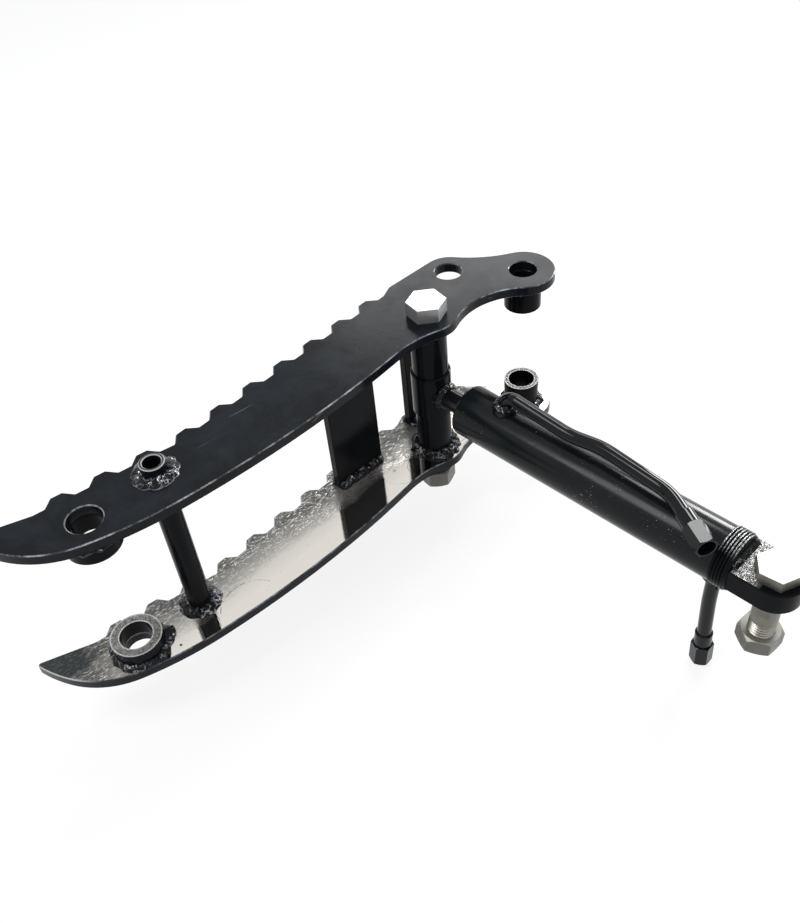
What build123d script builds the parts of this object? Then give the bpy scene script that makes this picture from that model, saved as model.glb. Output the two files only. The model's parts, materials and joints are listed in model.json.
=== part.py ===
from math import cos, radians, sin, sqrt, tan
import os

from build123d import *

# Hydraulic thumb of a mini excavator, lying on its side.  The origin is the middle of
# the rear pivot, Z runs along the pins, -X points to the tip of the claw and +Y to the
# side with the teeth.  All sizes are in millimetres.

# Clearances
running_gap = 0.05        # radial, shaft in hole
weld_gap = 0.1            # between pieces that are tacked together before welding
side_gap = 0.5            # between the rod eye and the bosses beside it
end_gap = 1.0             # left at the end of a travel

# Side plates: two equal claw plates, one above the other
plate_thickness = 10.0
plate_gap = 150.0         # clear distance between the two plates
plate_chamfer = 0.9
pivot = Vector(0, 0)
pivot_r = 13.0            # bore for the arm pin
rear_r = 30.0             # rear end, round about the pivot
mid_hole = Vector(-51, 47)
mid_hole_r = 13.0
hump_r = 25.0             # back edge, round about the middle hole
rod_pin = Vector(-108.2, 11.5)
lobe_r = 28.8             # belly lobe, round about the rod bolt
claw_tip = Vector(-528, 41.5)
tip_round = 2.5
toe_start = Vector(-391, -36.5)
toe_middle = Vector(-464, -26.6)
nose_middle = Vector(-513, 8.7)
belly_middle = Vector(-286, -33.0)
belly_start = Vector(-166, -15.0)
hump_angle = 95.0         # degrees, where the straight back edge meets the hump
lobe_angle = -106.0       # degrees, where the lobe ends towards the tip
back_hollow_r = 111.0     # hollow between the hump and the rear end
rear_hollow_r = 64.0      # hollow between the rear end and the lobe

# Teeth along the jaw edge, which is two straight runs that meet at a knee
tooth_count = 10
tooth_pitch = 35.5
tooth_land = 9.6
tooth_ramp = 7.6
tooth_depth = 8.2
tooth_round = 1.6
first_tooth = Vector(-456.5, 34.6)
jaw_knee = Vector(-359.5, 29.2)
jaw_rise = 9.25           # degrees, of the run behind the knee
first_floor = 9.6         # valley in front of the first tooth
last_floor = 8.0
back_step = Vector(13.0, 5.0)   # from the last valley up to the back edge

# Rings and bosses welded inside the plates
rear_bush_r = 17.5
rear_bush_height = 28.5
tip_ring_centre = Vector(-451.5, -3.5)
tip_ring_r = 22.0
tip_ring_bore_r = 14.0
tip_ring_height = 16.0
tube_centre = Vector(-388.6, 2.8)
tube_r = 10.3
tube_wall = 2.9
tube_reach = 12.0         # past each outer face
boss_r = 17.0
ring_chamfer = 0.8

# Flat cross plates between the side plates
flat_thickness = 8.0
flat_angle = 5.85         # degrees from the X axis
front_flat_centre = Vector(-187.7, 30.65)    # middle of the belly-side face
front_flat_width = 57.0
rear_flat_centre = Vector(-88.6, 51.35)
rear_flat_width = 41.0

# Fillet welds, as the leg of the triangle that they fill
tube_bead = 6.5
flat_bead = 7.0
boss_bead = 7.5
bush_bead = 4.0
ring_bead = 4.0
bead_crown = 0.62         # where a bead's face breaks, as a share of its leg both ways

# Rod bolt and its nut, M22
rod_bolt_r = 11.0
rod_bolt_flats = 32.0
rod_bolt_head = 14.0
rod_nut_height = 18.0
rod_nut_drop = 18.0       # the nut is loose, this far below the lower plate
rod_bolt_turn = 25.5      # degrees, of a corner of the head
bolt_chamfer = 1.5

# Cylinder: distances along its axis are measured from the rod bolt
cylinder_angle = -83.95    # degrees from the X axis
cylinder_height = -2.6    # of its axis
eye_r = 19.0
eye_length = 49.0
eye_chamfer = 1.5
eye_bead = 4.0
rod_r = 10.0
rod_tail_r = 8.0          # turned down for the piston and its nut
barrel_r = 24.5
barrel_wall = 4.5
barrel_start = 53.5
barrel_end = 313.3
gland_nose = 47.5
gland_shoulder = 49.5
gland_nose_step = 1.5     # the nose is this much smaller in radius than the barrel
gland_depth = 30.0        # inside the barrel
gland_snout_wall = 4.0
gland_snout = 16.0        # stops the piston behind the port
piston_length = 24.0
piston_nut_height = 11.0
piston_nut_flats = 24.0
cap_spigot = 14.0          # inside the barrel
cap_core = 13.3           # under the weld
cap_flange = 2.0
oil_way_r = 6.0           # blind hole in the cap, met by the one from its port
cap_weld_ridges = 5
cap_weld_crown = 0.9
seal_width = 6.0
seal_depth = 3.5
wear_width = 8.0
wear_depth = 2.0
rod_seal_width = 6.0
rod_seal_depth = 4.0
wiper_width = 5.0
wiper_depth = 3.0
ring_width = 3.0          # round section ring on the gland
ring_depth = 2.4

# Lug on the end cap, with its bolt and nut, M22
lug_distance = 356.4
lug_r = 22.5
lug_thickness = 21.0
lug_chamfer = 1.0
lug_bead = 4.0
base_bolt_r = 11.0
base_bolt_flats = 32.0
base_bolt_head = 10.0
base_bolt_turn = -18.0      # degrees, of a corner of the head
base_nut_turn = 1.0       # degrees, of a corner of the nut
base_nut_height = 15.5
base_nut_drop = 46.5      # below the lug

# Ports and their bent steel pipes
port_hole_r = 4.5
port_boss_r = 11.0
port_boss_height = 4.0    # above the barrel
port_boss_bead = 2.2
rod_port = 90.5
base_port_lead = 3.3      # in front of the end of the barrel
pipe_r = 6.1
pipe_wall = 1.5
elbow_r = 11.5
rod_pipe_stub = 0.75       # straight, between the boss and the elbow
collar_r = 7.6
collar_length = 15.0
neck_r = 5.6
head_r = 6.7
head_length = 7.0
swivel_length = 22.0
swivel_back = 7.0
swivel_flats = 17.0
swivel_bore_r = 7.2
nipple_bore_r = 3.5
swivel_chamfer = 1.0

# Bends of the rod end's pipe behind its elbow: distance from the port, sideways, height
# against the elbow's, and radius
rod_pipe_bends = (
    (71.0, 0.0, -7.1, 90.0),
    (102.5, 2.0, -3.3, 90.0),
    (172.1, -4.6, -4.9, 50.0),
)
rod_pipe_end = (191.4, -16.2, -4.6)

# The other pipe hangs down and leans back a little below its bend
base_pipe_drop = 33.5     # below the boss, to the bend
base_pipe_length = 74.6   # below the boss, to the collar
base_pipe_lean = 2.2
base_bend_r = 300.0

# Levels of the plates
inner_level = plate_gap / 2
outer_level = inner_level + plate_thickness

# Directions of the cylinder
along = Vector(cos(radians(cylinder_angle)), sin(radians(cylinder_angle)), 0)
up = Vector(0, 0, 1)
aside = up.cross(along)
eye_centre = Vector(rod_pin.X, rod_pin.Y, cylinder_height)
cylinder_plane = Plane(origin=eye_centre, x_dir=along, z_dir=along.cross(up))
cylinder_axis = Axis(eye_centre, along)
rod_pin_axis = Axis((rod_pin.X, rod_pin.Y, 0), (0, 0, 1))
barrel_bore_r = barrel_r - barrel_wall
gland_nose_r = barrel_r - gland_nose_step
gland_snout_r = rod_r + gland_snout_wall
base_port = barrel_end - base_port_lead
eye_top = cylinder_height + eye_length / 2
eye_bottom = cylinder_height - eye_length / 2
cap_start = barrel_end - cap_spigot
cap_end = barrel_end + cap_core + cap_flange
piston_end = cap_start - end_gap - piston_nut_height
piston_start = piston_end - piston_length
gland_end = barrel_start + gland_depth
lug_centre = eye_centre + along * lug_distance
lug_axis = Axis(lug_centre, (0, 0, 1))


def in_cylinder(distance, sideways, height):
    # A point given along the cylinder, across it and above its axis
    return eye_centre + along * distance + aside * sideways + up * height


def turned(points, plane=cylinder_plane):
    # Half section of a turned piece, as (distance along the axis, radius) points
    with BuildSketch(plane) as section:
        with BuildLine():
            Polyline(*points, close=True)
        make_face()
    return section.sketch


def bead_section(corner, outward, rise, leg, inset=0.0):
    # Section of a fillet weld in the corner between an upright and a flat face
    crown = leg * bead_crown
    with BuildSketch(Plane(origin=corner, x_dir=outward, z_dir=outward.cross(rise))) as section:
        with BuildLine():
            Polyline(
                (inset, 0), (inset + leg, 0), (inset + crown, crown), (inset, leg), close=True
            )
        make_face()
    return section.sketch


def ring_weld(centre, radius, level, rise, leg):
    # A fillet weld all the way round a round upright
    corner = Vector(centre.X, centre.Y, level)
    add(bead_section(corner, Vector(1, 0, 0), rise, leg, radius + weld_gap))
    revolve(axis=Axis(corner, (0, 0, 1)))


def hex_prism(centre, level, height, flats, turn):
    # A hexagon bar with both ends chamfered, standing on a level
    corner_r = flats / 2 / cos(radians(30))
    crown = (corner_r - flats / 2) * tan(radians(30)) * 1.15
    flat_r = flats / 2 * 0.975
    with BuildSketch(Plane.XY.offset(level)) as hexagon:
        with Locations(Location((centre.X, centre.Y, 0), (0, 0, turn))):
            RegularPolygon(radius=corner_r, side_count=6)
    with BuildPart() as prism:
        add(hexagon.sketch)
        extrude(amount=height)
        add(turned(
            [
                (0, 0), (0, flat_r), (crown, corner_r),
                (height - crown, corner_r), (height, flat_r), (height, 0),
            ],
            Plane(origin=(centre.X, centre.Y, level), x_dir=(0, 0, 1), z_dir=(0, 1, 0)),
        ))
        revolve(axis=Axis((centre.X, centre.Y, level), (0, 0, 1)), mode=Mode.INTERSECT)
    return prism.part


def claw_points():
    # Corners of the jaw edge, from the first valley to the back edge
    front = (jaw_knee - first_tooth).normalized()
    rear = Vector(cos(radians(jaw_rise)), sin(radians(jaw_rise)))
    front_run = (jaw_knee - first_tooth).length
    corners = []
    for index in range(tooth_count):
        distance = index * tooth_pitch
        if distance < front_run:
            heading, middle = front, first_tooth + front * distance
        else:
            heading, middle = rear, jaw_knee + rear * (distance - front_run)
        inward = Vector(heading.Y, -heading.X) * tooth_depth
        half = heading * (tooth_land / 2)
        foot = heading * (tooth_land / 2 + tooth_ramp)
        if index == 0:
            corners.append(middle - foot + inward - heading * first_floor)
        corners += [middle - foot + inward, middle - half, middle + half, middle + foot + inward]
    floor_end = corners[-1] + rear * last_floor
    outward = Vector(-rear.Y, rear.X)
    return corners + [floor_end, floor_end + rear * back_step.X + outward * back_step.Y]


def hollow_ends(first, first_r, second, second_r, radius):
    # Ends of an arc that leaves one circle and joins another, tangent to both, hollow
    gap = second - first
    first_reach = first_r + radius
    second_reach = second_r + radius
    reach = (first_reach**2 - second_reach**2 + gap.length**2) / (2 * gap.length)
    heading = gap.normalized()
    outward = Vector(-heading.Y, heading.X)
    centre = first + heading * reach + outward * sqrt(first_reach**2 - reach**2)
    return (
        first + (centre - first).normalized() * first_r,
        second + (centre - second).normalized() * second_r,
    )


def claw_face(level):
    # Outline of a side plate with its holes
    back_start, back_end = hollow_ends(mid_hole, hump_r, pivot, rear_r, back_hollow_r)
    rear_start, rear_end = hollow_ends(pivot, rear_r, rod_pin, lobe_r, rear_hollow_r)
    hump_start = mid_hole + Vector(hump_r, 0).rotate(Axis.Z, hump_angle)
    lobe_end = rod_pin + Vector(lobe_r, 0).rotate(Axis.Z, lobe_angle)
    with BuildSketch(Plane.XY.offset(level)) as claw:
        with BuildLine():
            hump_heading = Vector(1, 0).rotate(Axis.Z, hump_angle - 90)
            hump = TangentArc(hump_start, back_start, tangent=hump_heading)
            back = TangentArc(hump @ 1, back_end, tangent=hump % 1)
            rear = TangentArc(back @ 1, rear_start, tangent=back % 1)
            hollow = TangentArc(rear @ 1, rear_end, tangent=rear % 1)
            lobe = TangentArc(hollow @ 1, lobe_end, tangent=hollow % 1)
            TangentArc(lobe @ 1, belly_start, tangent=lobe % 1)
            belly = ThreePointArc(belly_start, belly_middle, toe_start)
            toe = TangentArc(belly @ 1, toe_middle, tangent=belly % 1)
            nose = TangentArc(toe @ 1, nose_middle, tangent=toe % 1)
            TangentArc(nose @ 1, claw_tip, tangent=nose % 1)
            FilletPolyline(claw_tip, *claw_points(), hump @ 0, radius=tooth_round)
        make_face()
        fillet(claw.vertices().sort_by(Axis.X)[0], radius=tip_round)
        with Locations(pivot):
            Circle(pivot_r, mode=Mode.SUBTRACT)
        with Locations(mid_hole):
            Circle(mid_hole_r, mode=Mode.SUBTRACT)
        with Locations(tip_ring_centre):
            Circle(tip_ring_bore_r, mode=Mode.SUBTRACT)
        with Locations(tube_centre):
            Circle(tube_r + weld_gap, mode=Mode.SUBTRACT)
        with Locations(rod_pin):
            Circle(rod_bolt_r + running_gap, mode=Mode.SUBTRACT)
    return claw.sketch


pieces = {}

# Side plates, alike, with every edge of their faces broken
for name, level in (("side_plate_upper", inner_level), ("side_plate_lower", -outer_level)):
    with BuildPart() as side_plate:
        add(claw_face(level))
        extrude(amount=plate_thickness)
        chamfer(side_plate.faces().filter_by(Axis.Z).edges(), length=plate_chamfer)
    pieces[name] = side_plate

# Cross tube through both plates
with BuildPart() as cross_tube:
    with BuildSketch(Plane.XY.offset(-outer_level - tube_reach)):
        with Locations(tube_centre):
            Circle(tube_r)
            Circle(tube_r - tube_wall, mode=Mode.SUBTRACT)
    extrude(amount=2 * (outer_level + tube_reach))
    chamfer(cross_tube.faces().filter_by(Axis.Z).edges(), length=0.25 * tube_wall)
pieces["cross_tube"] = cross_tube

# Flat bars across the gap
flats = (
    ("cross_plate", front_flat_centre, front_flat_width),
    ("rear_cross_plate", rear_flat_centre, rear_flat_width),
)
for name, centre, width in flats:
    with BuildPart() as flat:
        with BuildSketch(Plane.XY.offset(-inner_level)):
            with Locations(Location((centre.X, centre.Y, 0), (0, 0, flat_angle))):
                Rectangle(width, flat_thickness, align=(Align.CENTER, Align.MIN))
        extrude(amount=plate_gap)
        fillet(flat.edges().filter_by(Axis.Z), radius=0.1 * flat_thickness)
    pieces[name] = flat

# Round pieces on the inner faces: name, centre, outer and inner radius, height above
# the upper and the lower inner face
boss_heights = (inner_level - eye_top - side_gap, inner_level + eye_bottom - side_gap)
rounds = (
    ("rear_bush", pivot, rear_bush_r, pivot_r, (rear_bush_height, rear_bush_height)),
    ("tip_ring", tip_ring_centre, tip_ring_r, tip_ring_bore_r, (tip_ring_height, tip_ring_height)),
    ("pivot_boss", rod_pin, boss_r, rod_bolt_r + running_gap, boss_heights),
)
for name, centre, outer, inner, heights in rounds:
    for place, sign, height in (("upper", 1, heights[0]), ("lower", -1, heights[1])):
        with BuildPart() as boss:
            with BuildSketch(Plane.XY.offset(sign * inner_level)):
                with Locations(centre):
                    Circle(outer)
                    Circle(inner, mode=Mode.SUBTRACT)
            extrude(amount=-sign * height)
            free_face = boss.faces().filter_by(Axis.Z).sort_by(Axis.Z)[-(sign + 1) // 2]
            chamfer(free_face.edges(), length=ring_chamfer)
        pieces[name + "_" + place] = boss

# Welds round the tube, on both faces of both plates
with BuildPart() as cross_tube_welds:
    for sign in (1, -1):
        ring_weld(tube_centre, tube_r, sign * outer_level, up * sign, tube_bead)
        ring_weld(tube_centre, tube_r, sign * inner_level, up * -sign, tube_bead)
pieces["cross_tube_welds"] = cross_tube_welds

# Welds along both feet of the flat bars, on both of their faces
with BuildPart() as cross_plate_welds:
    for name, centre, width in flats:
        across = Vector(-sin(radians(flat_angle)), cos(radians(flat_angle)))
        for sign in (1, -1):
            for outward, foot in ((-across, centre), (across, centre + across * flat_thickness)):
                corner = Vector(foot.X, foot.Y, sign * inner_level)
                rise = up * -sign
                add(bead_section(corner, outward, rise, flat_bead))
                extrude(amount=width / 2, dir=outward.cross(rise), both=True)
pieces["cross_plate_welds"] = cross_plate_welds

# Welds round the feet of the round pieces
with BuildPart() as round_welds:
    feet = (
        (pivot, rear_bush_r, bush_bead),
        (tip_ring_centre, tip_ring_r, ring_bead),
        (rod_pin, boss_r, boss_bead),
    )
    for centre, radius, leg in feet:
        for sign in (1, -1):
            ring_weld(centre, radius, sign * inner_level, up * -sign, leg)
pieces["round_welds"] = round_welds

# Rod bolt, down through both bosses and the eye, with a loose nut under the lower plate
rod_nut_top = -outer_level - rod_nut_drop
rod_bolt_end = rod_nut_top - rod_nut_height
with BuildPart() as rod_bolt:
    add(hex_prism(rod_pin, outer_level, rod_bolt_head, rod_bolt_flats, rod_bolt_turn))
    with BuildSketch(Plane.XY.offset(outer_level)):
        with Locations(rod_pin):
            Circle(rod_bolt_r)
    extrude(amount=rod_bolt_end - outer_level)
    chamfer(rod_bolt.faces().sort_by(Axis.Z)[0].edges(), length=bolt_chamfer)
pieces["rod_bolt"] = rod_bolt

with BuildPart() as rod_bolt_nut:
    add(hex_prism(rod_pin, rod_bolt_end, rod_nut_height, rod_bolt_flats, rod_bolt_turn))
    with BuildSketch(Plane.XY.offset(rod_bolt_end)):
        with Locations(rod_pin):
            Circle(rod_bolt_r + running_gap)
    extrude(amount=rod_nut_height, mode=Mode.SUBTRACT)
pieces["rod_bolt_nut"] = rod_bolt_nut

# Eye of the rod
with BuildPart() as rod_eye:
    with BuildSketch(Plane.XY.offset(eye_bottom)):
        with Locations(rod_pin):
            Circle(eye_r)
            Circle(rod_bolt_r + running_gap, mode=Mode.SUBTRACT)
    extrude(amount=eye_length)
    chamfer(rod_eye.faces().filter_by(Axis.Z).edges(), length=eye_chamfer)
pieces["rod_eye"] = rod_eye

# Piston rod, cut to the round of the eye at one end and turned down at the other
with BuildPart() as piston_rod:
    add(turned([
        (0, 0), (0, rod_r), (piston_start, rod_r), (piston_start, rod_tail_r),
        (piston_end + piston_nut_height - bolt_chamfer, rod_tail_r),
        (piston_end + piston_nut_height, rod_tail_r - bolt_chamfer),
        (piston_end + piston_nut_height, 0),
    ]))
    revolve(axis=cylinder_axis)
    with BuildSketch(Plane.XY.offset(eye_bottom)):
        with Locations(rod_pin):
            Circle(eye_r + weld_gap)
    extrude(amount=eye_length, mode=Mode.SUBTRACT)
pieces["piston_rod"] = piston_rod

# Weld between the eye and the rod
with BuildPart() as rod_eye_weld:
    eye_weld_end = eye_r + eye_bead
    add(turned([
        (eye_r * 0.5, rod_r + weld_gap), (eye_r * 0.5, rod_r + eye_bead),
        (eye_r, rod_r + eye_bead), (eye_weld_end, rod_r + 0.3 * eye_bead),
        (eye_weld_end, rod_r + weld_gap),
    ]))
    revolve(axis=cylinder_axis)
    with BuildSketch(Plane.XY.offset(eye_bottom)):
        with Locations(rod_pin):
            Circle(eye_r + weld_gap)
    extrude(amount=eye_length, mode=Mode.SUBTRACT)
pieces["rod_eye_weld"] = rod_eye_weld

# Piston with grooves for its seal and its wear ring
groove_gap = 0.1 * ring_width
seal_start = piston_start + 0.22 * piston_length - seal_width / 2
wear_start = piston_end - 0.28 * piston_length - wear_width / 2
piston_r = barrel_bore_r - running_gap
with BuildPart() as piston:
    add(turned([
        (piston_start, rod_tail_r + running_gap), (piston_start, piston_r),
        (piston_end, piston_r), (piston_end, rod_tail_r + running_gap),
    ]))
    revolve(axis=cylinder_axis)
    for start, width, depth in (
        (seal_start, seal_width, seal_depth),
        (wear_start, wear_width, wear_depth),
    ):
        add(turned([
            (start, piston_r - depth), (start, barrel_r),
            (start + width, barrel_r), (start + width, piston_r - depth),
        ]))
        revolve(axis=cylinder_axis, mode=Mode.SUBTRACT)
pieces["piston"] = piston

for name, start, width, depth in (
    ("piston_seal", seal_start, seal_width, seal_depth),
    ("piston_wear_ring", wear_start, wear_width, wear_depth),
):
    with BuildPart() as piston_ring:
        add(turned([
            (start + groove_gap, piston_r - depth + running_gap), (start + groove_gap, piston_r),
            (start + width - groove_gap, piston_r),
            (start + width - groove_gap, piston_r - depth + running_gap),
        ]))
        revolve(axis=cylinder_axis)
    pieces[name] = piston_ring

# Nut that holds the piston on the rod
with BuildPart() as piston_nut:
    nut_plane = Plane(origin=in_cylinder(piston_end, 0, 0), x_dir=up, z_dir=along)
    with BuildSketch(nut_plane):
        RegularPolygon(radius=piston_nut_flats / 2, side_count=6, major_radius=False)
        Circle(rod_tail_r + running_gap, mode=Mode.SUBTRACT)
    extrude(amount=piston_nut_height)
pieces["piston_nut"] = piston_nut

# Barrel, drilled for the port at the rod end and cut round the other port's boss
with BuildPart() as barrel:
    add(turned([
        (barrel_start, barrel_bore_r), (barrel_start, barrel_r),
        (barrel_end, barrel_r), (barrel_end, barrel_bore_r),
    ]))
    revolve(axis=cylinder_axis)
    with BuildSketch(Plane(origin=in_cylinder(rod_port, 0, 0), x_dir=along, z_dir=up)):
        Circle(port_hole_r)
    extrude(amount=2 * barrel_r, mode=Mode.SUBTRACT)
    with BuildSketch(Plane(origin=in_cylinder(base_port, 0, 0), x_dir=along, z_dir=-up)):
        Circle(port_boss_r + weld_gap)
    extrude(amount=2 * barrel_r, mode=Mode.SUBTRACT)
pieces["barrel"] = barrel

# Gland screwed into the barrel, with its nose rounded off and grooves for three rings
gland_bore_r = rod_r + running_gap
gland_body_r = barrel_bore_r - weld_gap
wiper_start = gland_nose + 0.5 * wiper_width
rod_seal_start = gland_end - 2.5 * rod_seal_width
ring_start = gland_end - 2 * ring_width
with BuildPart() as gland:
    with BuildSketch(cylinder_plane):
        with BuildLine():
            Polyline(
                (gland_nose, gland_bore_r), (gland_nose, gland_nose_r),
                (gland_nose + 0.3 * (gland_shoulder - gland_nose),
                 gland_nose_r + 0.66 * (barrel_r - gland_nose_r)),
                (gland_shoulder, barrel_r), (barrel_start, barrel_r),
                (barrel_start, gland_body_r), (gland_end, gland_body_r),
                (gland_end, gland_snout_r), (gland_end + gland_snout, gland_snout_r),
                (gland_end + gland_snout, gland_bore_r), (gland_nose, gland_bore_r),
            )
        make_face()
    revolve(axis=cylinder_axis)
    for start, width, low, high in (
        (wiper_start, wiper_width, 0.5 * rod_r, gland_bore_r + wiper_depth),
        (rod_seal_start, rod_seal_width, 0.5 * rod_r, gland_bore_r + rod_seal_depth),
        (ring_start, ring_width, gland_body_r - ring_depth, barrel_r),
    ):
        add(turned([(start, low), (start, high), (start + width, high), (start + width, low)]))
        revolve(axis=cylinder_axis, mode=Mode.SUBTRACT)
pieces["gland"] = gland

for name, start, width, low, high in (
    ("rod_wiper", wiper_start, wiper_width, gland_bore_r, gland_bore_r + wiper_depth),
    ("rod_seal", rod_seal_start, rod_seal_width, gland_bore_r, gland_bore_r + rod_seal_depth),
    ("gland_ring", ring_start, ring_width, gland_body_r - ring_depth, gland_body_r),
):
    with BuildPart() as gland_seal:
        left = start + groove_gap
        right = start + width - groove_gap
        inner = low + (running_gap if name == "gland_ring" else 0)
        outer = high - (0 if name == "gland_ring" else running_gap)
        add(turned([(left, inner), (left, outer), (right, outer), (right, inner)]))
        revolve(axis=cylinder_axis)
    pieces[name] = gland_seal

# End cap with its oil way, a blind hole from the bore met by one from the port
cap_core_r = barrel_bore_r - weld_gap
with BuildPart() as end_cap:
    add(turned([
        (cap_start, 0), (cap_start, cap_core_r), (cap_end - cap_flange, cap_core_r),
        (cap_end - cap_flange, barrel_r), (cap_end, barrel_r), (cap_end, 0),
    ]))
    revolve(axis=cylinder_axis)
    add(turned([
        (cap_start, 0), (cap_start, oil_way_r),
        (base_port + oil_way_r, oil_way_r), (base_port + oil_way_r, 0),
    ]))
    revolve(axis=cylinder_axis, mode=Mode.SUBTRACT)
    with BuildSketch(Plane(origin=in_cylinder(base_port, 0, 0), x_dir=along, z_dir=-up)):
        Circle(port_hole_r)
    extrude(amount=barrel_r, mode=Mode.SUBTRACT)
    chamfer(end_cap.edges().filter_by(GeomType.CIRCLE).sort_by(cylinder_axis)[-1], length=0.4 * cap_flange)
pieces["end_cap"] = end_cap

# Ridged weld that fills the groove between the barrel and the cap
with BuildPart() as cap_weld:
    ridge = (cap_core - 2 * weld_gap) / cap_weld_ridges
    weld_start = barrel_end + weld_gap
    with BuildSketch(cylinder_plane):
        with BuildLine():
            Polyline(
                (weld_start, barrel_r), (weld_start, cap_core_r + weld_gap),
                (weld_start + cap_weld_ridges * ridge, cap_core_r + weld_gap),
                (weld_start + cap_weld_ridges * ridge, barrel_r),
            )
            for index in range(cap_weld_ridges):
                left = weld_start + index * ridge
                Polyline(
                    (left, barrel_r), (left + 0.3 * ridge, barrel_r + cap_weld_crown),
                    (left + 0.7 * ridge, barrel_r + cap_weld_crown), (left + ridge, barrel_r),
                )
        make_face()
    revolve(axis=cylinder_axis)
    with BuildSketch(Plane(origin=in_cylinder(base_port, 0, 0), x_dir=along, z_dir=-up)):
        Circle(port_boss_r + weld_gap)
    extrude(amount=2 * barrel_r, mode=Mode.SUBTRACT)
pieces["cap_weld"] = cap_weld

# Lug on the cap
lug_bottom = cylinder_height - lug_thickness / 2
lug_root = in_cylinder(cap_end, 0, -lug_thickness / 2)
with BuildPart() as base_lug:
    with BuildSketch(Plane(origin=lug_root, x_dir=along, z_dir=up)):
        reach = lug_distance - cap_end
        Rectangle(reach, 2 * lug_r, align=(Align.MIN, Align.CENTER))
        with Locations((reach, 0)):
            Circle(lug_r)
            Circle(base_bolt_r + running_gap, mode=Mode.SUBTRACT)
        with Locations((-lug_r, 0)):
            Rectangle(lug_r, 4 * lug_r, align=(Align.MIN, Align.CENTER), mode=Mode.SUBTRACT)
    extrude(amount=lug_thickness)
    rims = base_lug.faces().filter_by(Axis.Z).edges()
    chamfer(rims.sort_by(cylinder_axis)[1:], length=lug_chamfer)
pieces["base_lug"] = base_lug

# Welds along the root of the lug, above and below
with BuildPart() as lug_welds:
    for sign in (1, -1):
        corner = in_cylinder(cap_end, -sign * 0.8 * lug_r, sign * lug_thickness / 2)
        add(bead_section(corner, up * sign, along, lug_bead))
        extrude(amount=1.6 * lug_r, dir=(up * sign).cross(along))
pieces["lug_welds"] = lug_welds

# Base bolt and nut
lug_top = cylinder_height + lug_thickness / 2
base_nut_top = lug_bottom - base_nut_drop
base_bolt_end = base_nut_top - base_nut_height
with BuildPart() as base_bolt:
    add(hex_prism(lug_centre, lug_top, base_bolt_head, base_bolt_flats, base_bolt_turn))
    with BuildSketch(Plane.XY.offset(lug_top)):
        with Locations((lug_centre.X, lug_centre.Y)):
            Circle(base_bolt_r)
    extrude(amount=base_bolt_end - lug_top)
    chamfer(base_bolt.faces().sort_by(Axis.Z)[0].edges(), length=bolt_chamfer)
pieces["base_bolt"] = base_bolt

with BuildPart() as base_bolt_nut:
    add(hex_prism(lug_centre, base_bolt_end, base_nut_height, base_bolt_flats, base_nut_turn))
    with BuildSketch(Plane.XY.offset(base_bolt_end)):
        with Locations((lug_centre.X, lug_centre.Y)):
            Circle(base_bolt_r + running_gap)
    extrude(amount=base_nut_height, mode=Mode.SUBTRACT)
pieces["base_bolt_nut"] = base_bolt_nut

# Routes of the two pipes, from the boss to the collar
boss_top = barrel_r + port_boss_height
elbow_height = boss_top + rod_pipe_stub + 1.1 * elbow_r
rod_route = [in_cylinder(rod_port, 0, boss_top), in_cylinder(rod_port, 0, elbow_height)]
rod_bends = [elbow_r]
for distance, sideways, height, radius in rod_pipe_bends:
    rod_route.append(in_cylinder(rod_port + distance, sideways, elbow_height + height))
    rod_bends.append(radius)
distance, sideways, height = rod_pipe_end
rod_route.append(in_cylinder(rod_port + distance, sideways, elbow_height + height))
base_route = [
    in_cylinder(base_port, 0, -boss_top),
    in_cylinder(base_port, 0, -boss_top - base_pipe_drop),
    in_cylinder(base_port + base_pipe_lean, 0, -boss_top - base_pipe_length),
]
base_bends = [base_bend_r]


def swivel_frame(route):
    # Plane at a pipe's end, with its X axis along the last run
    heading = (route[-1] - route[-2]).normalized()
    side = heading.cross(up)
    if side.length < 0.2:
        side = aside
    return Plane(origin=route[-1], x_dir=heading, z_dir=side.normalized())


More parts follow.
